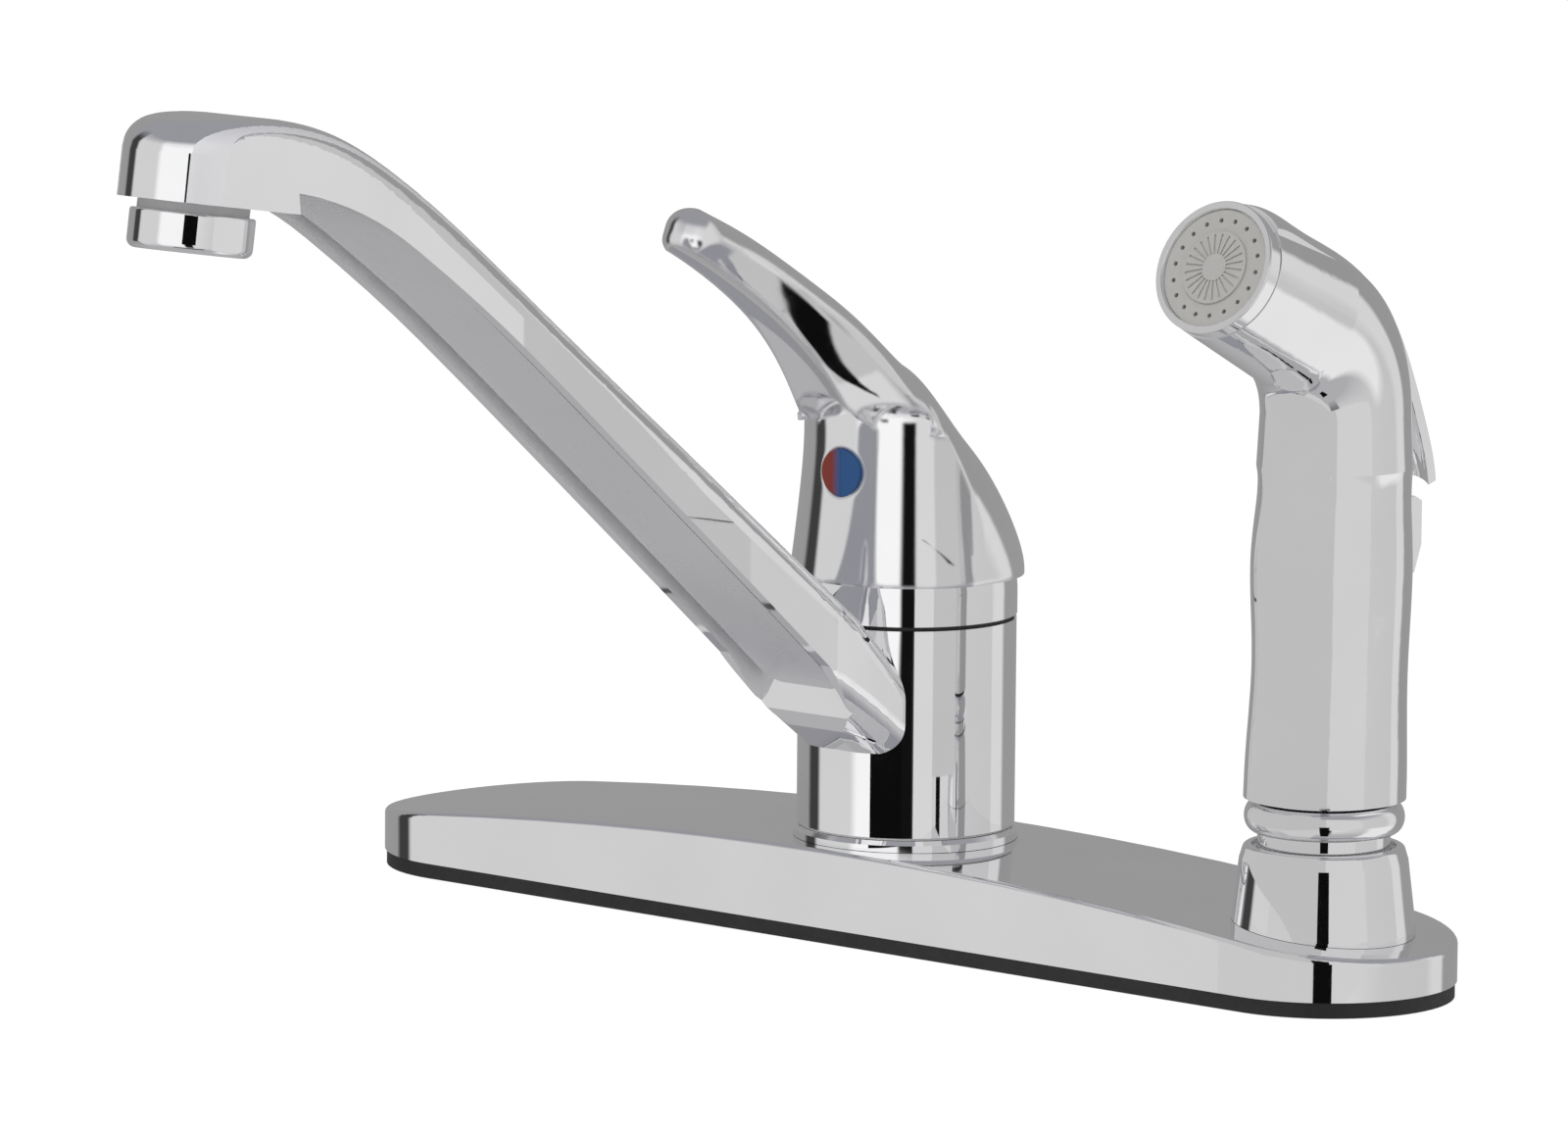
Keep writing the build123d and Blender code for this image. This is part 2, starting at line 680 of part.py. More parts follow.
def tip_trim():
    """Rounds the lever's end, in plan and at its upper and lower edges, and leaves the rest alone."""
    end = disc(lever_tip_radius, -lever_tip_thickness, 0)
    end = fillet(end.edges().filter_by(GeomType.CIRCLE), lever_tip_round)
    sections = []
    for along, swell in ((0, 0), (lever_tip_fade, 2 * lever_tip_round)):
        width = 2 * lever_tip_radius + swell
        outline = RectangleRounded(width, lever_tip_thickness + swell, lever_tip_round)
        sections.append(Plane.XZ.offset(-along) * (Pos(0, -lever_tip_thickness / 2) * outline))
    rest = block(-tall / 2, tall / 2, lever_tip_fade, tall, -tall / 2, tall / 2)
    place = Location((0, -lever_tip + lever_tip_radius, lever_tip_height), (-lever_tip_lean, 0, 0))
    return place * (end + loft(sections) + rest)


def stem_hole(gap):
    half = stem_width / 2 + gap
    return block(-half, half, -half, half, 40, stem_top + gap)


def handle():
    shape = handle_blank() & tip_trim()
    shape -= Pos(0, 0, pivot_height) * Sphere(hollow_radius)
    shape -= stem_hole(seat_gap)
    shape -= along_y(screw_radius + seat_gap, -tall / 4, 0, 0, screw_height)
    pocket_depth = button_thickness + seat_gap
    return shape - along_y(button_radius + seat_gap, -tall / 4, -dome_radius(screw_height) + pocket_depth,
                           0, screw_height)


def dome_radius(height):
    """Radius of the handle's round front at a height."""
    for (r0, z0), (r1, z1) in zip(dome_side, dome_side[1:]):
        if z0 <= height <= z1:
            return r0 + (r1 - r0) * (height - z0) / (z1 - z0)
    return dome_side[-1][0]


def index_disc():
    """The round colour index in the handle's front, with its stem."""
    front = -dome_radius(screw_height)
    back = front + button_thickness
    shape = along_y(button_radius, front - button_proud, back, 0, screw_height)
    return shape + along_y(button_stem_radius, back, back + button_stem_length, 0, screw_height)


def index_button():
    return index_disc() & block(0, tall, -tall, tall, 0, tall)


def index_inlay():
    return index_disc() & block(-tall, -seat_gap, -tall, tall, 0, tall)


def set_screw():
    back = -stem_width / 2 - seat_gap
    shape = along_y(screw_radius, back - screw_length, back, 0, screw_height)
    hexagon = Pos(0, screw_height) * RegularPolygon(screw_socket_radius, 6)
    return shape - extrude(Plane.XZ.offset(screw_length - back) * hexagon, -screw_socket_depth)


def lever_stem():
    half = stem_width / 2
    shape = block(-half, half, -half, half, pivot_height - stem_root, stem_top)
    shape += disc(stem_foot_radius, stem_foot_height, pivot_height)
    shape += Pos(0, 0, stem_foot_height) * Sphere(stem_foot_radius)
    return shape - across(pivot_pin_radius + running_gap, -half - 1, half + 1, 0, pivot_height)


# ================================================================ spout
def side_line(points, rise=0.0):
    """A smooth line in the spout's side view, raised square to itself."""
    raised = []
    for (d, z), (along, up) in zip(points, tangents(points)):
        raised.append((-(d - rise * up), z + rise * along))
    return Spline(*raised)


def outlet_place():
    """The outlet's own frame, at the middle of the head's lower face, with Z pointing up the bore."""
    return Location((0, -reach, outlet_height), (-outlet_tilt, 0, 0))


def arm_slab():
    top = side_line(arm_top_line)
    bottom = side_line(arm_bottom_line)
    place = outlet_place()
    toe = (place * Pos(0, -arm_half_width - nose_trim_room, 0)).position
    heel = (place * Pos(0, arm_half_width - heel_inset, 0)).position
    far_top = (-reach - arm_half_width - nose_trim_room, arm_top_line[-1][1])
    outline = [top, Line(top @ 1, far_top), Line(far_top, (toe.Y, toe.Z)),
               Line((toe.Y, toe.Z), (heel.Y, heel.Z)), Line((heel.Y, heel.Z), bottom @ 1), bottom,
               Line(bottom @ 0, top @ 0)]
    return extrude(Plane.YZ * make_face(outline), arm_half_width, both=True)


def nose_trim():
    """Rounds the spout's end about the outlet, and leaves the rest alone."""
    nose = Cylinder(arm_half_width, 90)
    rest = Pos(0, tall / 2, 0) * Box(60, tall, 2 * tall)
    return outlet_place() * (nose + rest)


def arm_band(low, high, half_width, start, end):
    """A band inside the arm, between two distances above its lower edge and two from the tap's axis."""
    lower = side_line(arm_bottom_line, low)
    upper = side_line(arm_bottom_line, high)
    outline = [lower, Line(lower @ 1, upper @ 1), upper, Line(lower @ 0, upper @ 0)]
    band = extrude(Plane.YZ * make_face(outline), half_width, both=True)
    return band & block(-tall, tall, -end, -start, 0, tall)


def channel_cut():
    """The water channel in the arm, between the recess and the arm's top."""
    lower = side_line(arm_bottom_line, recess_depth)
    upper = side_line(arm_top_line, -channel_ceiling)
    outline = [lower, Line(lower @ 1, upper @ 1), upper, Line(lower @ 0, upper @ 0)]
    band = extrude(Plane.YZ * make_face(outline), channel_half_width, both=True)
    return band & block(-tall, tall, -recess_end, -channel_start, 0, tall)


def root_pad():
    outline = Polyline(*[(-d, z) for d, z in pad_outline], close=True)
    return extrude(Plane.YZ * make_face(outline), arm_half_width, both=True)


def root_trim():
    """Rounds the arm where it runs into the hub, and leaves the rest alone."""
    sections = []
    for d, width, height, middle, corner in root_stations:
        sections.append(Plane.XZ.offset(d) * (Pos(0, middle) * RectangleRounded(width, height, corner)))
    last = root_stations[-1]
    rest = block(-last[1] / 2, last[1] / 2, -tall, -last[0], 0, tall)
    return loft(sections) + rest


def outlet_passage():
    """Tapped bore in the head for the aerator, and the way to it from the arm's channel."""
    bore = disc(outlet_bore_radius + thread_depth + seat_gap, -1, thread_length + seat_gap)
    bore += disc(outlet_bore_radius, 0, thread_length + 4)
    height = outlet_height + thread_length + 1
    way = along_y(passage_radius, -reach, -recess_end + 2, 0, height)
    return outlet_place() * bore + way


def spout():
    arm = arm_slab() & nose_trim()
    rim = arm.faces().sort_by(Axis.Z)[-1].edges().filter_by(lambda e: e.center().Y < -60)
    arm = fillet(rim, arm_corner_round)
    arm = (arm + root_pad()) & root_trim()
    shape = arm + disc(hub_radius, hub_bottom, hub_top)
    shape -= disc(hub_bore_radius, 0, hub_top + 40)
    shape -= arm_band(-6, recess_depth, arm_half_width - arm_wall, recess_start, recess_end)
    shape -= channel_cut()
    inlet = along_y(inlet_radius, -channel_start - 1, -hub_bore_radius + 1, 0, (waist_low + waist_high) / 2)
    return shape - inlet - outlet_passage()


def spout_cover():
    """Plate that closes the arm's water channel from below, in the middle of the recess."""
    start = recess_start + seat_gap
    end = recess_end - seat_gap
    plate = arm_band(cover_depth, recess_depth - seat_gap, cover_half_width, start, end)
    outline = RectangleRounded(2 * cover_half_width, end - start, cover_corner_round)
    return plate & extrude(Pos(0, -(start + end) / 2) * outline, tall)


# ================================================================ aerator
def aerator_housing():
    cup = disc(aerator_radius, aerator_bottom, aerator_top)
    cup = fillet(cup.edges().filter_by(GeomType.CIRCLE).sort_by(Axis.Z)[0], aerator_round)
    cup = fillet(cup.edges().filter_by(GeomType.CIRCLE).sort_by(Axis.Z)[-1], aerator_top_round)
    shape = cup + disc(aerator_neck_radius, aerator_top - 1, 0)
    shape += disc(outlet_bore_radius + thread_depth, -1, thread_length)
    shape -= disc(aerator_bore_radius, aerator_bottom - 1, aerator_shoulder)
    return outlet_place() * (shape - disc(aerator_way_radius, aerator_bottom - 1, thread_length + 1))


def aerator_insert():
    """Flow former behind the outlet's screen: a cup with a ring of slots."""
    low = aerator_bottom + screen_setback + screen_thickness + seat_gap
    high = aerator_shoulder - seat_gap
    half = former_slot_width / 2
    shape = disc(aerator_bore_radius - seat_gap, low, high)
    slot = block(former_slot_start, former_slot_end, -half, half, low - 1, high + 1)
    for cut in polar_copies(slot, former_slot_count):
        shape -= cut
    return outlet_place() * shape


def aerator_screen():
    """Honeycomb screen across the outlet."""
    low = aerator_bottom + screen_setback
    radius = aerator_bore_radius - seat_gap
    shape = disc(radius, low, low + screen_thickness)
    across_count = 2 * math.ceil(radius / screen_pitch) + 1
    cutters = []
    for place in HexLocations(screen_pitch / math.sqrt(3), across_count, across_count):
        if place.position.length < radius - screen_margin:
            hexagon = extrude(RegularPolygon(screen_cell, 6), 3 * screen_thickness)
            cutters.append(Pos(0, 0, low - screen_thickness) * place * hexagon)
    return outlet_place() * (shape - cutters)


def aerator_washer():
    low = aerator_top
    shape = ring(aerator_neck_radius + washer_width, aerator_neck_radius + seat_gap, low, -seat_gap)
    return outlet_place() * shape


# ================================================================ diverter
def diverter_piston():
    low = diverter_low + seat_gap
    high = low + diverter_length
    radius = diverter_bore_radius - running_gap
    groove_high = high - diverter_groove_top
    groove_low = groove_high - diverter_groove_width
    shape = disc(radius, low, high)
    shape -= ring(radius + 1, radius - diverter_groove_depth, groove_low, groove_high)
    shape = Pos(0, -port_offset, 0) * shape
    return shape - disc(piston_way_radius, low - 1, low + diverter_length - 4, 0, -port_offset)


def diverter_seal():
    high = diverter_low + seat_gap + diverter_length - diverter_groove_top - 2 * seat_gap
    low = high - diverter_groove_width + 4 * seat_gap
    radius = diverter_bore_radius - running_gap
    return ring(radius, radius - diverter_groove_depth + 0.02, low, high, 0, -port_offset)


# ================================================================ spray holder
holder_nut_high = plate_top(spray_x + holder_nut_radius) - plate_wall - nut_gap


def at_spray(shape):
    return Pos(spray_x, 0, 0) * shape


def spray_holder():
    foot = plate_top(spray_x + holder_foot_radius) - holder_seat_sink
    outline = [(0, holder_shank_bottom), (holder_shank_radius, holder_shank_bottom),
               (holder_shank_radius, foot), (holder_foot_radius, foot),
               (holder_foot_radius, plate_top(spray_x) - 0.5),
               (holder_shoulder_radius, holder_shoulder_height), (holder_top_radius, holder_top_height),
               (0, holder_top_height)]
    shape = turned(outline)
    shape = fillet(shape.edges().filter_by(GeomType.CIRCLE).sort_by(Axis.Z)[-1], holder_top_round)
    shape -= disc(holder_bore_radius, holder_ledge_height, holder_top_height + 1)
    shape -= disc(holder_ledge_radius, 0, holder_ledge_height + 1)
    shape = at_spray(shape)
    outside = ring(holder_foot_radius + 1, holder_shank_radius, 0, plate_middle_height + 4, spray_x)
    return shape - (outside & under_arch(-seat_gap))


def holder_liner():
    """Plastic guide in the holder's bore."""
    low = holder_ledge_height + seat_gap
    high = holder_top_height - liner_setback
    return ring(holder_bore_radius - seat_gap, holder_bore_radius - liner_wall, low, high, spray_x)


def saddle_washer():
    low = holder_nut_high + seat_gap
    shape = ring(holder_nut_radius, holder_shank_radius + seat_gap, low, plate_middle_height, spray_x)
    return shape & under_arch(plate_wall + seat_gap)


def holder_nut():
    low = holder_nut_high - holder_nut_height
    outline = Plane.XY.offset(low) * RegularPolygon(holder_nut_flat, 6, major_radius=False)
    shape = extrude(outline, holder_nut_height) & disc(holder_nut_radius, low, holder_nut_high)
    return at_spray(shape - disc(holder_shank_radius + seat_gap, low - 1, holder_nut_high + 1))


# ================================================================ side spray's coupling
coupling_low = holder_ledge_height + seat_gap


def spray_coupling():
    """Screwed end of the spray, which hangs in the holder and takes the hose from below."""
    core_radius = bead_radius - bead_swell
    high = bead_high - seat_gap
    shape = turned([(0, coupling_tail_bottom), (coupling_tail_radius, coupling_tail_bottom),
                    (coupling_tail_radius, coupling_low), (coupling_neck_radius, coupling_low),
                    (coupling_neck_radius, bead_low), (core_radius, bead_low), (core_radius, high),
                    (0, high)])
    bead = Pos(core_radius, (bead_low + high) / 2) * Ellipse(bead_swell, (high - bead_low) / 2)
    shape += revolve(Plane.XZ * bead, Axis.Z)
    shape += disc(spigot_radius, high - 1, spigot_top)
    shape -= disc(hose_port_radius, coupling_tail_bottom - 1, coupling_tail_bottom + hose_port_depth)
    shape -= disc(channel_radius, coupling_tail_bottom, spigot_top + 1)
    return at_spray(shape)


def coupling_seal():
    low = spigot_top - spigot_seal_drop
    high = low + spigot_seal_height
    return ring(spigot_radius + spigot_seal_width, spigot_radius + seat_gap, low, high, spray_x)


# ================================================================ side spray's body
head_angle = math.radians(head_rise)
head_direction = (-math.cos(head_angle), math.sin(head_angle))
grip_back = grip_stations[-1][0]
grip_join = grip_stations[-1][2]
corner_height = face_height - (face_forward + grip_back) * math.tan(head_angle)


def spray_line():
    """Centre line of the elbow and the head, from the grip's top to the face."""
    start = (spray_x, grip_back, grip_join)
    corner = (spray_x, grip_back, corner_height)
    tip = (spray_x, -face_forward, face_height)
    return FilletPolyline(start, corner, tip, radius=elbow_radius)


def face_place(depth=0.0):
    """The spray face's own frame: Z points out of the face, and depth is measured back along the head."""
    dy, dz = head_direction
    return Plane(origin=(spray_x, -face_forward - depth * dy, face_height - depth * dz), x_dir=(1, 0, 0),
                 z_dir=(0, dy, dz)).location


def grip_blank():
    sections = []
    for back, radius, height in grip_stations:
        sections.append(Plane.XY.offset(height) * (Pos(spray_x, back) * Circle(radius)))
    return loft(sections)


def elbow_blank():
    """The bend, as wide as the grip's top, and the head that narrows to the bezel."""
    bend = spray_line().edges().filter_by(GeomType.CIRCLE)[0]
    start = bend @ 0 if (bend @ 0).Z < (bend @ 1).Z else bend @ 1
    finish = bend @ 1 if (bend @ 0).Z < (bend @ 1).Z else bend @ 0
    elbow_low = Plane(origin=start, x_dir=(1, 0, 0), z_dir=(0, 0, 1))
    curve = sweep(elbow_low * Circle(elbow_tube_radius), path=bend)
    neck = loft([Plane.XY.offset(grip_join) * (Pos(spray_x, grip_back) * Circle(grip_stations[-1][1])),
                 elbow_low * Circle(elbow_tube_radius)])
    dy, dz = head_direction
    head = loft([Plane(origin=finish, x_dir=(1, 0, 0), z_dir=(0, dy, dz)) * Circle(elbow_tube_radius),
                 Plane(face_place()) * Circle(head_end_radius)])
    return neck + curve + head


def finger_ledge():
    """Rest on the grip's back for the hand, just below the thumb lever."""
    back = grip_stations[-2][0] + grip_stations[-2][1]
    root = back - ledge_reach
    crest_y = back + ledge_reach
    outline = Polyline((root, ledge_low), (back, ledge_low), (crest_y, ledge_crest_low),
                       (crest_y, ledge_crest_high), (back, ledge_high), (root, ledge_high), close=True)
    shape = at_spray(extrude(Plane.YZ * make_face(outline), ledge_half_width, both=True))
    return shape & disc(crest_y - grip_stations[-2][0], ledge_low, ledge_high, spray_x, grip_stations[-2][0])


def thumb_section(y, z, slope, half, top, floor):
    """A crowned strip across the thumb lever, in its own plane."""
    lean = math.radians(slope)
    plane = Plane(origin=(spray_x, y, z), x_dir=(-1, 0, 0), z_dir=(0, math.cos(lean), -math.sin(lean)))
    drop = thumb_crown_radius - math.sqrt(thumb_crown_radius ** 2 - half ** 2)
    outer = ThreePointArc((-half, top - drop), (0, top), (half, top - drop))
    inner = ThreePointArc((half, floor - drop), (0, floor), (-half, floor - drop))
    return plane * make_face([outer, inner, Line(outer @ 1, inner @ 0), Line(inner @ 1, outer @ 0)])


def thumb_run():
    """Distance of each place on the thumb lever's spine from its upper end."""
    run = [0.0]
    for (y0, z0, _), (y1, z1, _) in zip(thumb_spine, thumb_spine[1:]):
        run.append(run[-1] + math.hypot(y1 - y0, z1 - z0))
    return run


def thumb_strip(half, top, floor, spine=thumb_spine):
    """A strip along the thumb lever, between two distances out of its outer face."""
    return loft([thumb_section(y, z, slope, half, top, floor) for y, z, slope in spine])


def thumb_room():
    """Space cut out of the spray's body for the thumb lever and its travel."""
    sections = []
    half = thumb_half_width + thumb_side_gap
    swing = thumb_room_spare * math.tan(math.radians(thumb_travel))
    for (y, z, slope), run in zip(thumb_spine, thumb_run()):
        floor = -thumb_thickness - thumb_start_gap - run * swing
        sections.append(thumb_section(y, z, slope, half, thumb_half_width, floor))
    return loft(sections)


def thumb_ear(gap):
    """Lug under the lever's upper end that the pin goes through."""
    y, z = thumb_pivot
    half = thumb_ear_width / 2 + gap
    reach_out = thumb_ear_radius + gap
    lug = across(reach_out, spray_x - half, spray_x + half, y, z)
    return lug + block(spray_x - half, spray_x + half, y - reach_out, y + reach_out, z, z + thumb_ear_height)


def spray_lever():
    above = thumb_strip(thumb_half_width + 1, thumb_half_width, -thumb_thickness / 2, thumb_spine[:4])
    lever = thumb_strip(thumb_half_width, 0, -thumb_thickness) + (thumb_ear(0) - above)
    hole = across(thumb_pin_radius + running_gap, spray_x - tall, spray_x + tall, *thumb_pivot)
    return lever - hole


def lever_pin():
    radius = thumb_pin_radius - seat_gap / 2
    return across(radius, spray_x - thumb_pin_half, spray_x + thumb_pin_half, *thumb_pivot)


def plunger_bore(gap):
    return disc(plunger_radius + gap, plunger_tail - spring_length, tall, spray_x, grip_back)


def spray_ways():
    """Water, up the grip to the valve, along the head, and out behind the spray face."""
    grip_way = disc(grip_channel_radius, spigot_top, plunger_tail - spring_length + 1, spray_x, grip_back)
    head_length = (face_forward + grip_back) / math.cos(head_angle)
    head_way = face_place() * disc(head_channel_radius, -head_length, 0)
    back = -bezel_length
    chamber = face_place() * disc(bezel_radius - chamber_wall, back - chamber_depth, back + 1)
    return [grip_way, head_way, chamber]


def seal_room():
    """Groove in the grip's bore for the spigot's sealing ring."""
    low = spigot_top - spigot_seal_drop - seal_room_gap
    high = low + spigot_seal_height + 2 * seal_room_gap
    return disc(spigot_radius + spigot_seal_width + seal_room_gap, low, high, spray_x)


def spray_body():
    body = grip_blank() + elbow_blank()
    body += finger_ledge()
    body -= thumb_room()
    body -= thumb_ear(ear_gap)
    body -= disc(spigot_radius + running_gap, 0, spigot_top + running_gap, spray_x)
    body -= seal_room()
    body -= plunger_bore(running_gap)
    for way in spray_ways():
        body -= way
    body -= across(thumb_pin_radius, spray_x - thumb_pin_half - seat_gap, spray_x + thumb_pin_half
                   + seat_gap, *thumb_pivot)
    head_cut = face_place() * disc(2 * bezel_radius, -bezel_length, 2 * bezel_radius)
    return body - head_cut


# ================================================================ spray face
def spray_bezel():
    shape = ring(bezel_radius, face_radius + seat_gap, -bezel_length + seat_gap, 0)
    rim = shape.edges().filter_by(GeomType.CIRCLE).sort_by(Axis.Z)[-2:]
    shape = fillet(rim, 0.5)
    return face_place() * shape


def spray_face():
    high = -face_recess
    shape = disc(face_radius, -bezel_length + seat_gap, high)
    shape += disc(centre_disc_radius, high - 1, high + centre_disc_height)
    for jet in polar_copies(disc(jet_radius, -bezel_length, high + 1, jet_circle), jet_count):
        shape -= jet
    flute = block(2.6, centre_disc_radius - 0.6, -flute_width / 2, flute_width / 2,
                  high + centre_disc_height - flute_depth, high + 2)
    for cut in polar_copies(flute, flute_count):
        shape -= cut
    return face_place() * shape


# ================================================================ spray valve
def plunger_centre():
    """Height of the centre of the plunger's rounded end, which just clears the thumb lever."""
    for (y0, z0, slope0), (y1, z1, slope1) in zip(thumb_spine, thumb_spine[1:]):
        if y0 <= grip_back <= y1:
            share = (grip_back - y0) / (y1 - y0)
            slope = slope0 + share * (slope1 - slope0)
            room = thumb_thickness + plunger_gap + plunger_radius
            return z0 + share * (z1 - z0) - room / math.cos(math.radians(slope))
    return plunger_tail


def valve_plunger():
    centre = plunger_centre()
    shape = disc(plunger_radius, plunger_tail, centre, spray_x, grip_back)
    shape += Pos(spray_x, grip_back, centre) * Sphere(plunger_radius)
    low = plunger_seal_height
    return shape - ring(plunger_radius + 1, plunger_radius - 0.8, low, low + 1.4, spray_x, grip_back)


def plunger_seal():
    low = plunger_seal_height + 0.1
    return ring(plunger_radius, plunger_radius - 0.78, low, low + 1.2, spray_x, grip_back)


def valve_spring():
    """Coil spring that pushes the plunger and the thumb lever back out."""
    length = spring_length - 2 * spring_wire - 2 * seat_gap
    helix = Helix(pitch=length / spring_coils, height=length, radius=spring_radius)
    wire = sweep(Plane(origin=helix @ 0, z_dir=helix % 0) * Circle(spring_wire), path=helix, is_frenet=True)
    return Pos(spray_x, grip_back, plunger_tail - spring_length + spring_wire + seat_gap) * wire


os.makedirs("parts", exist_ok=True)
nodes = {
    "deck_plate": deck_plate, "deck_gasket": deck_gasket, "valve_body": valve_body, "base_ring": base_ring,
    "hub_washer": hub_washer, "friction_ring": friction_ring, "spout_seals": spout_seals,
    "dome_cap": dome_cap, "cartridge_base": cartridge_base, "port_seals": port_seals,
    "fixed_disc": fixed_disc, "moving_disc": moving_disc, "disc_driver": disc_driver,
    "cartridge_housing": cartridge_housing, "bonnet_nut": bonnet_nut, "stem_carrier": stem_carrier,
    "pivot_pin": pivot_pin, "handle": handle, "set_screw": set_screw, "lever_stem": lever_stem,
    "spout": spout, "spout_cover": spout_cover, "aerator_housing": aerator_housing,
    "aerator_insert": aerator_insert, "aerator_screen": aerator_screen, "aerator_washer": aerator_washer,
    "diverter_piston": diverter_piston, "diverter_seal": diverter_seal, "spray_holder": spray_holder,
    "holder_liner": holder_liner, "saddle_washer": saddle_washer, "holder_nut": holder_nut,
    "spray_coupling": spray_coupling, "coupling_seal": coupling_seal, "spray_body": spray_body,
    "spray_lever": spray_lever, "lever_pin": lever_pin, "spray_bezel": spray_bezel,
    "spray_face": spray_face, "valve_plunger": valve_plunger, "plunger_seal": plunger_seal,
    "valve_spring": valve_spring, "index_button": index_button, "index_inlay": index_inlay,
}
for name, make in nodes.items():
    write(name, make())
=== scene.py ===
"""Looks for a single-lever kitchen tap with a side spray. Metres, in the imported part's frame."""
import json
import math

import bpy
from mathutils import Matrix, Vector

# ------------------------------------------------------------------ camera
CAMERA_PLACE = Vector((1.3241, -1.6095, 0.3926))
CAMERA_AZIMUTH = math.radians(40.1)
CAMERA_DOWN = math.radians(8.8)
CAMERA_ROLL = math.radians(0.447)
FOCAL_PIXELS = 11162.5
IMAGE_WIDTH = 1600
SENSOR_MM = 36.0

# ------------------------------------------------------------------ studio
FLOOR_REACH = 6.0
FLOOR_DROP = 0.0002            # keeps the floor clear of the gasket
FLOOR_GLOW = 0.72              # share of the floor's white that doesn't depend on the light
FLOOR_WHITE = 1.27             # brings the unshaded floor up to the photograph's white
FLOOR_COLOUR = (0.92, 0.92, 0.92, 1)

# the studio's walls as seen from the tap: (degrees to the right of the camera, grey)
LEFT_PANEL = 1.0
LEFT_PANEL_FAR = 0.68
GAP = 0.006
POST = 0.05
RIGHT_PANEL_NEAR = 0.76
RIGHT_PANEL = 0.62
RIGHT_PANEL_FAR = 0.60
RIGHT_PANEL_END = 0.72
BACK_WALL = 0.33
WALLS = (
    (-180, BACK_WALL), (-127, BACK_WALL), (-121, POST), (-108, POST), (-103, LEFT_PANEL_FAR),
    (-62, LEFT_PANEL_FAR), (-54, LEFT_PANEL), (-9, LEFT_PANEL), (-6.5, GAP), (6.5, GAP),
    (9, RIGHT_PANEL_NEAR), (50, RIGHT_PANEL), (97, RIGHT_PANEL_FAR),
    (106, RIGHT_PANEL_END), (119, RIGHT_PANEL_END), (124, BACK_WALL), (180, BACK_WALL),
)
# the walls' dark post ends a little below the level, before what the arm's edge reflects
POST_LOW = (0.15, 0.20)        # share of the way down to the nadir: from, to
POST_END = (180 - 103) / 360   # share of the way around
GAP_TOP = (0.10, 0.145)        # shares of the way up to the zenith over which the dark gap ends
# a bright panel low on the right: where it begins, is whole, is still whole and ends
LOW_PANEL = 0.86
LOW_PANEL_AROUND = (60, 72, 112, 122)          # degrees to the right of the camera
LOW_PANEL_DOWN = (0.14, 0.20, 0.72, 0.80)      # shares of the way down to the nadir
# flat cards that only reflections show: painted reflections of grey panels and dark bands in the chrome; they
# are neither floor nor backdrop, and some stand close to the tap.
# name, corners, grey; a corner is its distance to the right of the column as the main camera sees it, its
# distance before the column, and its height
CARDS = (
    # painted reflection: a dark card that paints a dark band into the chrome
    ("dark flag", ((-0.265, 0.340, -0.080), (-0.030, 0.340, -0.080), (-0.030, 0.340, -0.008),
                   (-0.265, 0.340, -0.022)), 0.004),
    # painted reflections: grey cards that paint light panels into the column's and the spray's chrome
    ("divider, side of the column", ((0.040, 0.090, 0.000), (0.040, 0.340, -0.060), (0.040, 0.340, 0.300),
                                     (0.040, 0.090, 0.300)), 0.72),
    ("divider, side of the spray", ((0.042, 0.045, 0.026), (0.042, 0.345, -0.0205), (0.042, 0.345, 0.300),
                                    (0.042, 0.045, 0.300)), 0.56),
    ("divider, before the holder", ((0.042, 0.085, -0.080), (0.042, 0.345, -0.080), (0.042, 0.345, -0.0205),
                                    (0.042, 0.085, 0.0198)), 0.64),
    ("front card, left", ((0.042, 0.345, -0.050), (0.078, 0.345, -0.050), (0.078, 0.345, 0.300),
                          (0.042, 0.345, 0.300)), 0.56),
    ("front card, right", ((0.078, 0.345, -0.050), (0.450, 0.345, -0.050), (0.450, 0.345, 0.300),
                           (0.078, 0.345, 0.300)), 0.68),
    # painted reflections: dark strips by the holder, the nose and the lever that paint dark bands into their
    # chrome
    ("dark strip before the holder", ((0.0685, 0.125, -0.030), (0.0815, 0.125, -0.030),
                                      (0.0815, 0.125, 0.033), (0.0685, 0.125, 0.033)), 0.004),
    ("dark strip before the nose", ((-0.1475, 0.250, 0.145), (-0.1075, 0.250, 0.145),
                                    (-0.1075, 0.250, 0.190), (-0.1475, 0.250, 0.190)), 0.004),
    ("dark strip below the lever", ((0.011, 0.0525, 0.08106), (0.040, 0.0495, 0.07663),
                                    (0.040, 0.0605, 0.07823), (0.011, 0.0585, 0.08193)), 0.004),
)
CEILING = (0.33, 0.33, 0.36, 1)
TO_CEILING = (0.28, 0.50)      # shares of the way up to the zenith: the walls end, the ceiling is whole
GROUND = (0.45, 0.45, 0.46, 1)
TO_GROUND = (0.25, 0.55)       # shares of the way down to the nadir: the walls end, the ground is whole
KEY_PLACE = (0.5, -0.9, 1.1)
KEY_SIZE = 0.7
KEY_WATTS = 6
AIM = Vector((0, 0, 0.05))


def linked(tree, kind, **inputs):
    """A node with its inputs set to values, or linked from sockets."""
    node = tree.nodes.new(kind)
    for name, value in inputs.items():
        socket = node.inputs[name.replace("_", " ")]
        if isinstance(value, bpy.types.NodeSocket):
            tree.links.new(value, socket)
        else:
            socket.default_value = value
    return node


def maths(tree, operation, *values):
    """The result of a math node, its inputs set to values or linked from sockets."""
    node = tree.nodes.new("ShaderNodeMath")
    node.operation = operation
    for socket, value in zip(node.inputs, values):
        if isinstance(value, bpy.types.NodeSocket):
            tree.links.new(value, socket)
        else:
            socket.default_value = value
    return node.outputs[0]


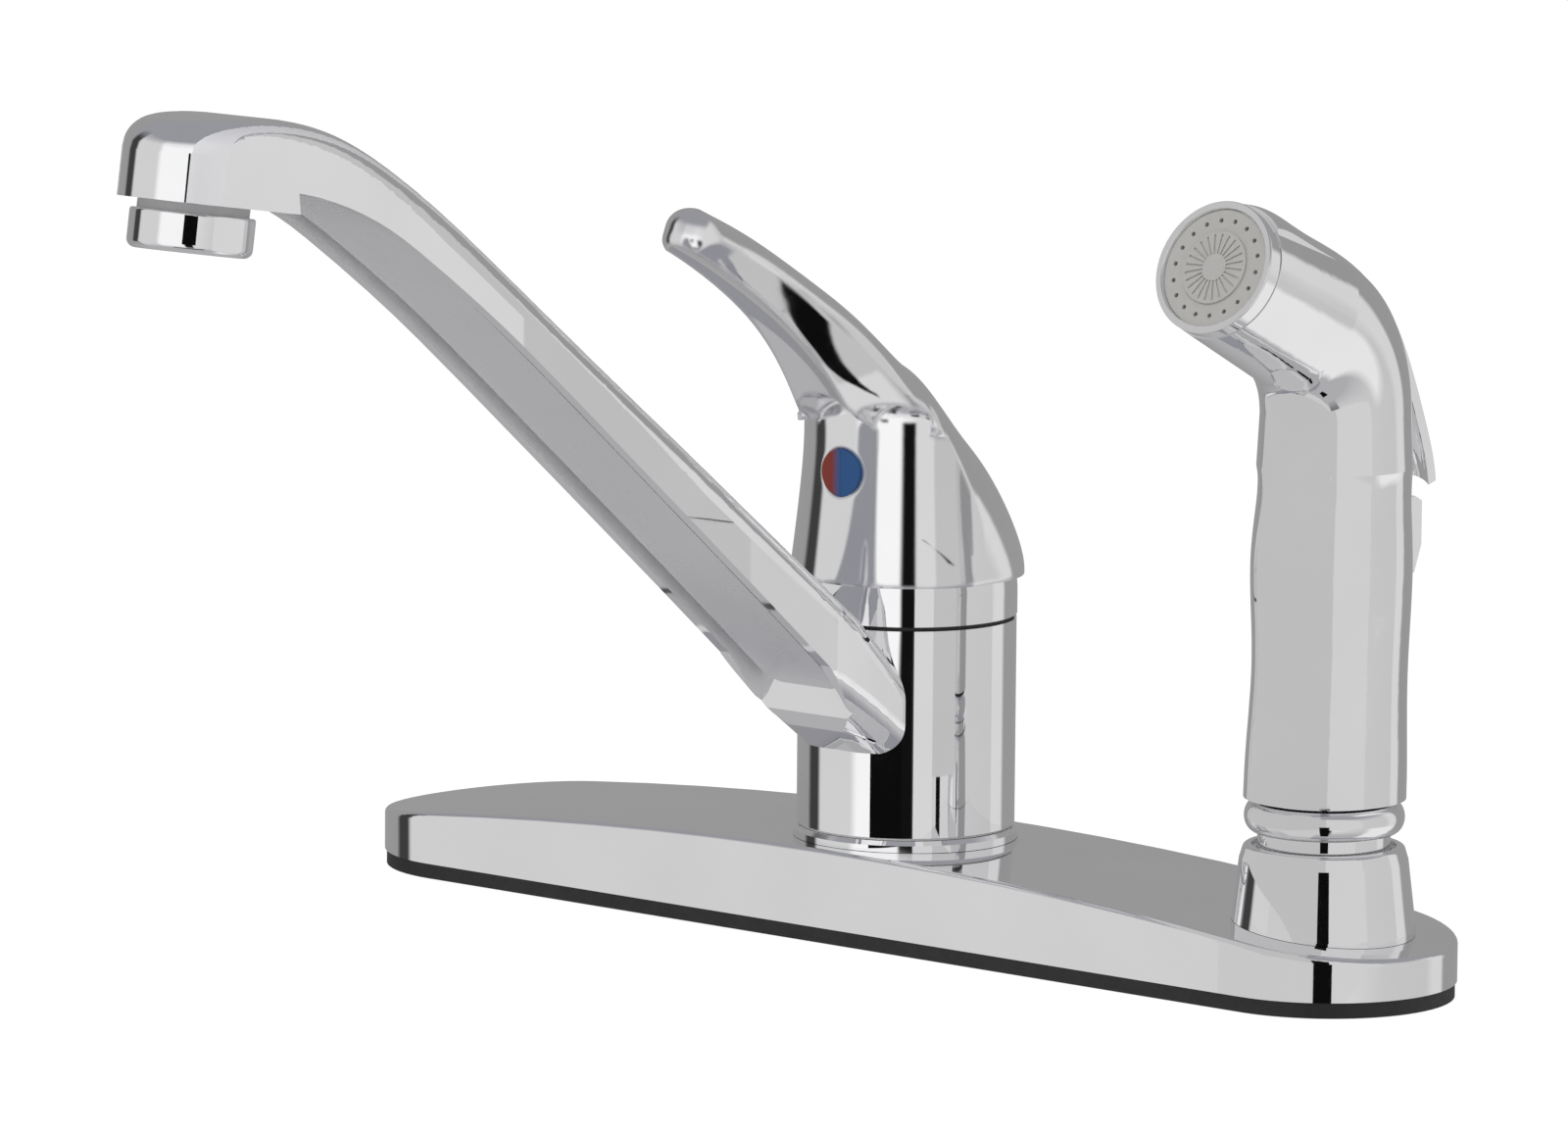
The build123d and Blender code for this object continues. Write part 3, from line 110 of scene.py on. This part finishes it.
def ramp(tree, factor, stops):
    """A colour ramp with (place, grey or colour) stops."""
    node = tree.nodes.new("ShaderNodeValToRGB")
    tree.links.new(factor, node.inputs[0])
    elements = node.color_ramp.elements
    while len(elements) < len(stops):
        elements.new(1.0)
    for element, (place, colour) in zip(elements, stops):
        element.position = place
        element.color = colour if isinstance(colour, tuple) else (colour, colour, colour, 1)
    return node.outputs[0]


def mix_colour(tree, factor, a, b):
    """Colour a at factor 0, colour b at factor 1."""
    node = tree.nodes.new("ShaderNodeMix")
    node.data_type = "RGBA"
    for socket, value in ((node.inputs[0], factor), (node.inputs[6], a), (node.inputs[7], b)):
        if isinstance(value, bpy.types.NodeSocket):
            tree.links.new(value, socket)
        else:
            socket.default_value = value
    return node.outputs[2]


# ------------------------------------------------------------------ camera, walls, floor and lamps
def make_camera():
    data = bpy.data.cameras.new("camera")
    data.sensor_width = SENSOR_MM
    data.lens = FOCAL_PIXELS * SENSOR_MM / IMAGE_WIDTH
    data.clip_start = 0.1
    data.clip_end = 50
    camera = bpy.data.objects.new("camera", data)
    bpy.context.scene.collection.objects.link(camera)
    a, down = CAMERA_AZIMUTH, CAMERA_DOWN
    look = Vector((-math.sin(a) * math.cos(down), math.cos(a) * math.cos(down), -math.sin(down)))
    right = look.cross(Vector((0, 0, 1))).normalized()
    up = right.cross(look)
    x = right * math.cos(CAMERA_ROLL) + up * math.sin(CAMERA_ROLL)
    y = up * math.cos(CAMERA_ROLL) - right * math.sin(CAMERA_ROLL)
    turn = Matrix((x, y, -look)).transposed().to_4x4()
    camera.matrix_world = Matrix.Translation(CAMERA_PLACE) @ turn
    bpy.context.scene.camera = camera


def make_walls():
    """Two tall white panels with a dark gap between them, side walls, a darker ceiling and ground."""
    world = bpy.data.worlds.new("studio")
    bpy.context.scene.world = world
    world.use_nodes = True
    tree = world.node_tree
    tree.nodes.clear()
    place = linked(tree, "ShaderNodeTexCoord").outputs["Generated"]
    turned = linked(tree, "ShaderNodeVectorRotate", Vector=place, Angle=-CAMERA_AZIMUTH)
    split = linked(tree, "ShaderNodeSeparateXYZ", Vector=turned.outputs[0])
    x, y, z = split.outputs
    around = maths(tree, "ARCTAN2", x, maths(tree, "MULTIPLY", y, -1.0))
    share = maths(tree, "ADD", maths(tree, "DIVIDE", around, 2 * math.pi), 0.5)
    with_gap = [((degrees + 180) / 360, tone) for degrees, tone in WALLS]
    walls = ramp(tree, share, with_gap)
    height = maths(tree, "ARCSINE", z)
    up = maths(tree, "DIVIDE", height, math.pi / 2)
    down = maths(tree, "MULTIPLY", up, -1.0)
    whole_walls = ramp(tree, share, [(stop, tone) for stop, tone in with_gap if tone != GAP])
    gap_ends = ramp(tree, up, [(GAP_TOP[0], 0.0), (GAP_TOP[1], 1.0)])
    walls = mix_colour(tree, gap_ends, walls, whole_walls)
    post_ends = ramp(tree, down, [(POST_LOW[0], 0.0), (POST_LOW[1], 1.0)])
    post_side = maths(tree, "LESS_THAN", share, POST_END)
    walls = mix_colour(tree, maths(tree, "MULTIPLY", post_ends, post_side), walls, grey(BACK_WALL))
    to_ceiling = ramp(tree, up, [(TO_CEILING[0], 0.0), (TO_CEILING[1], 1.0)])
    to_ground = ramp(tree, down, [(TO_GROUND[0], 0.0), (TO_GROUND[1], 1.0)])
    colour = mix_colour(tree, to_ceiling, walls, CEILING)
    colour = mix_colour(tree, to_ground, colour, GROUND)
    around_it = ramp(tree, share, [((degrees + 180) / 360, whole) for degrees, whole in
                                   zip(LOW_PANEL_AROUND, (0.0, 1.0, 1.0, 0.0))])
    down_it = ramp(tree, down, list(zip(LOW_PANEL_DOWN, (0.0, 1.0, 1.0, 0.0))))
    colour = mix_colour(tree, maths(tree, "MULTIPLY", around_it, down_it), colour, grey(LOW_PANEL))
    path = linked(tree, "ShaderNodeLightPath")
    seen = maths(tree, "MAXIMUM", path.outputs["Is Camera Ray"], path.outputs["Is Transmission Ray"])
    colour = mix_colour(tree, seen, colour, (1, 1, 1, 1))
    background = linked(tree, "ShaderNodeBackground", Color=colour, Strength=1.0)
    output = tree.nodes.new("ShaderNodeOutputWorld")
    tree.links.new(background.outputs[0], output.inputs[0])


def make_floor():
    r = FLOOR_REACH
    mesh = bpy.data.meshes.new("floor")
    mesh.from_pydata([(-r, -r, 0), (r, -r, 0), (r, r, 0), (-r, r, 0)], [], [(0, 1, 2, 3)])
    floor = bpy.data.objects.new("floor", mesh)
    bpy.context.scene.collection.objects.link(floor)
    floor.location.z = -FLOOR_DROP
    floor.visible_glossy = False
    material = bpy.data.materials.new("floor")
    material.use_nodes = True
    tree = material.node_tree
    tree.nodes.clear()
    matt = linked(tree, "ShaderNodeBsdfDiffuse", Color=FLOOR_COLOUR)
    glow = linked(tree, "ShaderNodeEmission", Strength=FLOOR_WHITE)
    path = linked(tree, "ShaderNodeLightPath")
    share = maths(tree, "MULTIPLY", path.outputs["Is Camera Ray"], FLOOR_GLOW)
    mixed = linked(tree, "ShaderNodeMixShader", Fac=share)
    tree.links.new(matt.outputs[0], mixed.inputs[1])
    tree.links.new(glow.outputs[0], mixed.inputs[2])
    output = tree.nodes.new("ShaderNodeOutputMaterial")
    tree.links.new(mixed.outputs[0], output.inputs[0])
    mesh.materials.append(material)


def make_card(name, corners, shade):
    """A flat card that shows in the chrome and nowhere else: a painted reflection."""
    a = CAMERA_AZIMUTH
    right = Vector((math.cos(a), math.sin(a), 0))
    forward = Vector((math.sin(a), -math.cos(a), 0))
    corners = [aside * right + before * forward + Vector((0, 0, height)) for aside, before, height in corners]
    faces = [tuple(range(len(corners)))]
    mesh = bpy.data.meshes.new(name)
    mesh.from_pydata(corners, [], faces)
    card = bpy.data.objects.new(name, mesh)
    bpy.context.scene.collection.objects.link(card)
    card.visible_camera = False
    card.visible_diffuse = False
    card.visible_transmission = False
    card.visible_shadow = False
    material = bpy.data.materials.new(name)
    material.use_nodes = True
    tree = material.node_tree
    tree.nodes.clear()
    # painted reflection: the card's grey glows only in the chrome
    glow = linked(tree, "ShaderNodeEmission", Color=(shade, shade, shade, 1), Strength=1.0)
    output = tree.nodes.new("ShaderNodeOutputMaterial")
    tree.links.new(glow.outputs[0], output.inputs[0])
    mesh.materials.append(material)


def make_lamp(name, place, size, watts):
    data = bpy.data.lights.new(name, "AREA")
    data.size = size
    data.energy = watts
    lamp = bpy.data.objects.new(name, data)
    bpy.context.scene.collection.objects.link(lamp)
    lamp.location = place
    lamp.rotation_euler = (AIM - Vector(place)).to_track_quat("-Z", "Y").to_euler()
    lamp.visible_glossy = False


# ------------------------------------------------------------------ materials
INDEX_RED = (0.27, 0.022, 0.008, 1)
INDEX_RED_WORN = (0.22, 0.015, 0.004, 1)
INDEX_BLUE = (0.004, 0.09, 0.29, 1)
INDEX_BLUE_WORN = (0.003, 0.075, 0.25, 1)
INDEX_FADE = (-0.0021, -0.0001)    # metres across the button, from the last red to the first blue
RECESS_HALF_WIDTH = 0.0125         # of the recess along the arm
RECESS_START = -0.02               # where along the arm its dull side walls begin
LEVER_ROUNDING = 0.0015


def new_material(name, **inputs):
    material = bpy.data.materials.new(name)
    material.use_nodes = True
    tree = material.node_tree
    shader = tree.nodes["Principled BSDF"]
    for key, value in inputs.items():
        shader.inputs[key.replace("_", " ")].default_value = value
    return material, tree, shader


def noise(tree, scale, detail=3.0, roughness=0.5):
    place = linked(tree, "ShaderNodeTexCoord").outputs["Object"]
    return linked(tree, "ShaderNodeTexNoise", Vector=place, Scale=scale, Detail=detail,
                  Roughness=roughness).outputs[0]


def bump(tree, shader, height, strength, distance):
    node = linked(tree, "ShaderNodeBump", Height=height, Strength=strength, Distance=distance)
    tree.links.new(node.outputs[0], shader.inputs["Normal"])


def chrome(name, light, dark, smooth, dull):
    """Bright plating: a faint drift of tint and haze, as polishing and handling leave."""
    material, tree, shader = new_material(name, Metallic=1.0)
    drift = noise(tree, 35, 4)
    tree.links.new(ramp(tree, drift, [(0.3, dark), (0.7, light)]), shader.inputs["Base Color"])
    haze = noise(tree, 120, 5, 0.6)
    tree.links.new(ramp(tree, haze, [(0.35, smooth), (0.75, dull)]), shader.inputs["Roughness"])
    return material


def soften(material, radius):
    """Rounds the small steps between a casting's or a moulding's faces, as polishing does."""
    tree = material.node_tree
    node = linked(tree, "ShaderNodeBevel", Radius=radius)
    node.samples = 6
    tree.links.new(node.outputs[0], tree.nodes["Principled BSDF"].inputs["Normal"])
    return material


def leave_cast(material, half_width, start):
    """Plating that is thin and dull on the side walls of the recess along the arm's middle."""
    tree = material.node_tree
    shader = tree.nodes["Principled BSDF"]
    place = linked(tree, "ShaderNodeTexCoord").outputs
    x, y, z = linked(tree, "ShaderNodeSeparateXYZ", Vector=place["Object"]).outputs
    slope = linked(tree, "ShaderNodeSeparateXYZ", Vector=place["Normal"]).outputs[0]
    between = maths(tree, "LESS_THAN", maths(tree, "ABSOLUTE", x), half_width)
    beyond = maths(tree, "LESS_THAN", y, start)
    upright = maths(tree, "GREATER_THAN", maths(tree, "ABSOLUTE", slope), 0.6)
    wall = maths(tree, "MULTIPLY", maths(tree, "MULTIPLY", between, beyond), upright)
    haze = shader.inputs["Roughness"].links[0].from_socket
    dull = maths(tree, "MULTIPLY", wall, 0.5)
    tree.links.new(maths(tree, "ADD", haze, dull), shader.inputs["Roughness"])
    tree.links.new(maths(tree, "SUBTRACT", 1.0, dull), shader.inputs["Metallic"])
    return material


def moulded(name, light, dark, rough, grain_scale=900, grain=0.15):
    """Moulded plastic or rubber with a fine grain."""
    material, tree, shader = new_material(name)
    drift = noise(tree, 60, 3)
    tree.links.new(ramp(tree, drift, [(0.3, dark), (0.7, light)]), shader.inputs["Base Color"])
    grains = noise(tree, grain_scale, 2)
    tree.links.new(ramp(tree, grains, [(0.3, rough - 0.06), (0.7, rough + 0.06)]), shader.inputs["Roughness"])
    bump(tree, shader, grains, grain, 0.00004)
    return material


def metal(name, light, dark, rough, line_scale):
    """Turned, unplated metal."""
    material, tree, shader = new_material(name, Metallic=1.0)
    lines = noise(tree, line_scale, 4)
    tree.links.new(ramp(tree, lines, [(0.3, dark), (0.7, light)]), shader.inputs["Base Color"])
    tree.links.new(ramp(tree, lines, [(0.3, rough - 0.08), (0.7, rough + 0.08)]), shader.inputs["Roughness"])
    return material


def grey(value, blue=0.0):
    return (value, value, value + blue, 1)


def make_materials():
    return {
        "chrome_zinc": chrome("bright plating", grey(0.93, 0.01), grey(0.89, 0.01), 0.02, 0.05),
        "chrome_abs": chrome("bright plating on plastic", grey(0.92, 0.01), grey(0.88, 0.01), 0.03, 0.06),
        "brass": metal("brass", (0.78, 0.60, 0.30, 1), (0.68, 0.50, 0.24, 1), 0.3, 300),
        "black_rubber": moulded("black rubber", grey(0.016), grey(0.010), 0.55),
        "white_plastic": moulded("white plastic", grey(0.82), grey(0.76), 0.42),
        "grey_plastic": moulded("grey plastic", grey(0.42, 0.01), grey(0.37, 0.01), 0.38),
        "ceramic": moulded("ceramic", (0.84, 0.82, 0.78, 1), (0.78, 0.76, 0.72, 1), 0.25),
        "steel": metal("steel", grey(0.62), grey(0.52), 0.28, 500),
        "blue_plastic": moulded("blue plastic", INDEX_BLUE, INDEX_BLUE_WORN, 0.2),
        "red_plastic": moulded("red plastic", INDEX_RED, INDEX_RED_WORN, 0.2),
    }


def fade_index(material):
    """The red half's print runs over into the blue near the middle."""
    tree = material.node_tree
    shader = tree.nodes["Principled BSDF"]
    red = shader.inputs["Base Color"].links[0].from_socket
    place = linked(tree, "ShaderNodeTexCoord").outputs["Object"]
    x = linked(tree, "ShaderNodeSeparateXYZ", Vector=place).outputs[0]
    fade = linked(tree, "ShaderNodeMapRange", Value=x, From_Min=INDEX_FADE[0], From_Max=INDEX_FADE[1])
    tree.links.new(mix_colour(tree, fade.outputs[0], red, INDEX_BLUE), shader.inputs["Base Color"])
    return material


def make_own_materials():
    """Finishes of single pieces that differ from the rest of their material."""
    lever = chrome("polished lever", grey(0.93, 0.01), grey(0.89, 0.01), 0.02, 0.05)
    arm = chrome("plated arm", grey(0.93, 0.01), grey(0.89, 0.01), 0.02, 0.05)
    return {
        "spout": leave_cast(arm, RECESS_HALF_WIDTH, RECESS_START),
        "aerator_washer": moulded("pale washer", grey(0.60), grey(0.54), 0.5),
        "spray_face": moulded("light grey face", (0.52, 0.512, 0.488, 1), (0.47, 0.463, 0.44, 1), 0.38),
        "index_inlay": fade_index(moulded("index print", INDEX_RED, INDEX_RED_WORN, 0.2)),
        "handle": soften(lever, LEVER_ROUNDING),
        "spout_cover": chrome("satin cover", grey(0.95, 0.01), grey(0.90, 0.01), 0.26, 0.36),
    }


def dress(frame, materials, own_materials):
    for part in frame["record"]["subparts"]:
        node = frame["nodes"][part["node"]]
        node.data.materials.clear()
        node.data.materials.append(own_materials.get(part["node"], materials[part["material_slot"]]))


# ------------------------------------------------------------------ the scene
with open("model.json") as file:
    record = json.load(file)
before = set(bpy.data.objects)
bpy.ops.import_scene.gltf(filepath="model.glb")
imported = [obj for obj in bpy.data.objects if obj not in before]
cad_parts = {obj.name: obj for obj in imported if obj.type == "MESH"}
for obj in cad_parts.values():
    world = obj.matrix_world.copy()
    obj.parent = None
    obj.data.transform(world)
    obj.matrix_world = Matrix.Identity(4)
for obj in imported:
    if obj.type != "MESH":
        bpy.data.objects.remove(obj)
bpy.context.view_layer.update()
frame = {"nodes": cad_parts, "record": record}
bpy.context.scene.view_settings.view_transform = "Standard"
make_camera()
make_walls()
make_floor()
# painted reflections: cards that show only in the chrome
for card in CARDS:
    make_card(*card)
make_lamp("key", KEY_PLACE, KEY_SIZE, KEY_WATTS)
dress(frame, make_materials(), make_own_materials())
